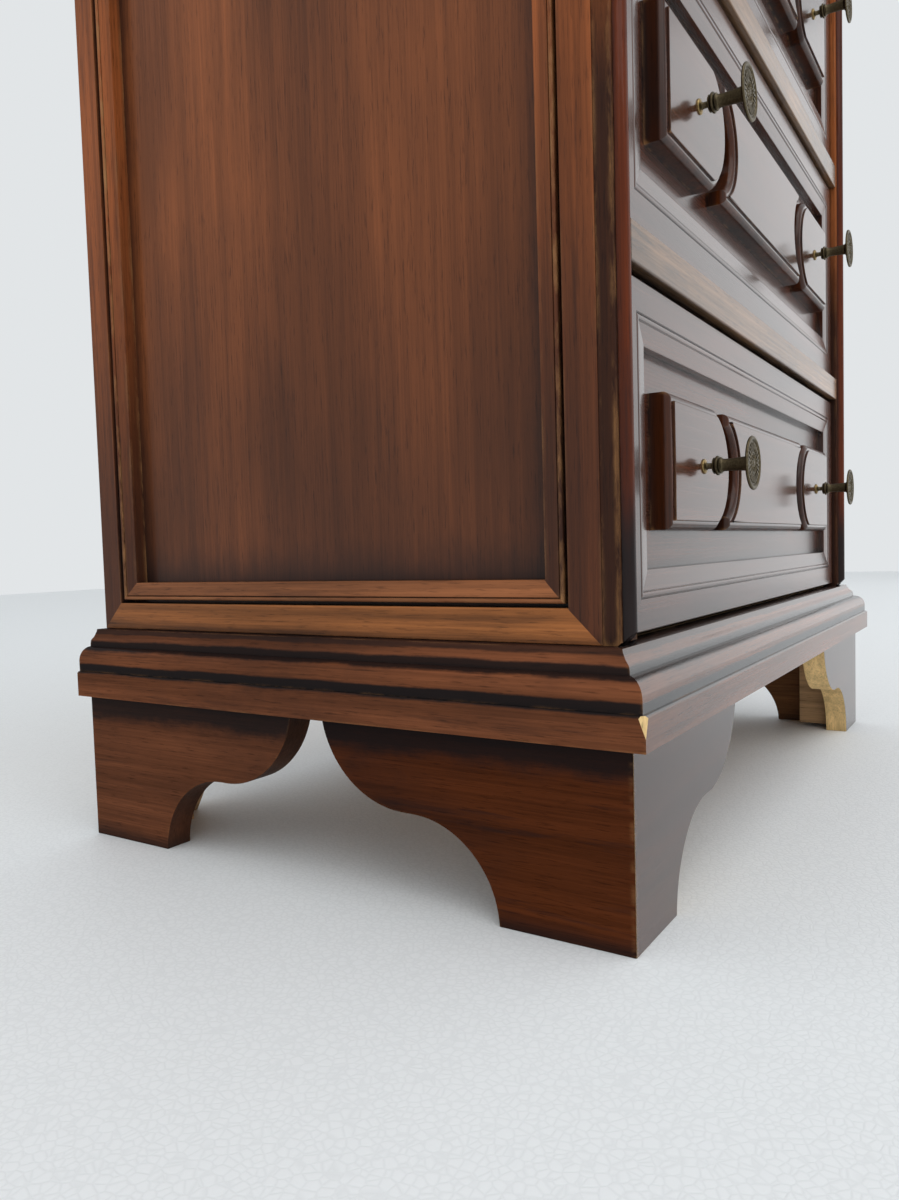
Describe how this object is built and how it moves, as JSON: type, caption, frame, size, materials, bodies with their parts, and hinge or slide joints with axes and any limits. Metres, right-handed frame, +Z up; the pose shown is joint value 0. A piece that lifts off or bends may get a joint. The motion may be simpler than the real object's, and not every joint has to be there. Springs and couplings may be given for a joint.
{
  "type": "tall chest of drawers",
  "caption": "Tall narrow chest of drawers: walnut carcass on ogee bracket feet, panelled sides, beaded corner posts, drawers with raised shaped blocks and round brass knobs",
  "frame": {"origin": "on the floor, in the middle of the footprint, knobs included", "axes": "+Z up, the drawers open towards -Y, and +X is to the right for someone who faces the front"},
  "size_m": [0.6128, 0.398, 1.1645],
  "materials": {
    "walnut": "red-brown walnut stain, polished, darkened in the recesses and worn on the edges",
    "inner_wood": "bare pale softwood",
    "plain_board": "bare thin board",
    "old_brass": "antique brass, dull, with dark recesses",
    "steel": "zinc-plated"
  },
  "bodies": {
    "carcass": {"bottom_board": "inner_wood", "back_panel": "plain_board", "top_board": "walnut", "top_moulding": "walnut", "left_side_panel": "walnut", "right_side_panel": "walnut", "left_side_frame": "walnut", "right_side_frame": "walnut", "left_side_bead": "walnut", "right_side_bead": "walnut", "left_corner_post": "walnut", "right_corner_post": "walnut", "front_rails": "walnut", "runners": "inner_wood", "drawer_stops": "inner_wood", "base_fascia": "walnut", "base_moulding": "walnut", "front_feet": "walnut", "back_feet": "walnut", "corner_blocks": "inner_wood"},
    "drawer_1": {"drawer_1_front": "walnut", "drawer_1_frame_moulding": "walnut", "drawer_1_raised_blocks": "walnut", "drawer_1_sides": "inner_wood", "drawer_1_back": "inner_wood", "drawer_1_bottom": "plain_board", "drawer_1_knobs": "old_brass", "drawer_1_knob_nuts": "steel"},
    "drawer_2": {"drawer_2_front": "walnut", "drawer_2_frame_moulding": "walnut", "drawer_2_raised_blocks": "walnut", "drawer_2_sides": "inner_wood", "drawer_2_back": "inner_wood", "drawer_2_bottom": "plain_board", "drawer_2_knobs": "old_brass", "drawer_2_knob_nuts": "steel"},
    "drawer_3": {"drawer_3_front": "walnut", "drawer_3_frame_moulding": "walnut", "drawer_3_raised_blocks": "walnut", "drawer_3_sides": "inner_wood", "drawer_3_back": "inner_wood", "drawer_3_bottom": "plain_board", "drawer_3_knobs": "old_brass", "drawer_3_knob_nuts": "steel"},
    "drawer_4": {"drawer_4_front": "walnut", "drawer_4_frame_moulding": "walnut", "drawer_4_raised_blocks": "walnut", "drawer_4_sides": "inner_wood", "drawer_4_back": "inner_wood", "drawer_4_bottom": "plain_board", "drawer_4_knobs": "old_brass", "drawer_4_knob_nuts": "steel"},
    "drawer_5": {"drawer_5_front": "walnut", "drawer_5_frame_moulding": "walnut", "drawer_5_raised_blocks": "walnut", "drawer_5_sides": "inner_wood", "drawer_5_back": "inner_wood", "drawer_5_bottom": "plain_board", "drawer_5_knobs": "old_brass", "drawer_5_knob_nuts": "steel"}
  },
  "joints": [
    {"name": "drawer_1_slide", "type": "slide", "parent": "carcass", "child": "drawer_1", "axis": [0, -1, 0], "range_m": [0, 0.27]},
    {"name": "drawer_2_slide", "type": "slide", "parent": "carcass", "child": "drawer_2", "axis": [0, -1, 0], "range_m": [0, 0.27]},
    {"name": "drawer_3_slide", "type": "slide", "parent": "carcass", "child": "drawer_3", "axis": [0, -1, 0], "range_m": [0, 0.27]},
    {"name": "drawer_4_slide", "type": "slide", "parent": "carcass", "child": "drawer_4", "axis": [0, -1, 0], "range_m": [0, 0.27]},
    {"name": "drawer_5_slide", "type": "slide", "parent": "carcass", "child": "drawer_5", "axis": [0, -1, 0], "range_m": [0, 0.27]}
  ]
}
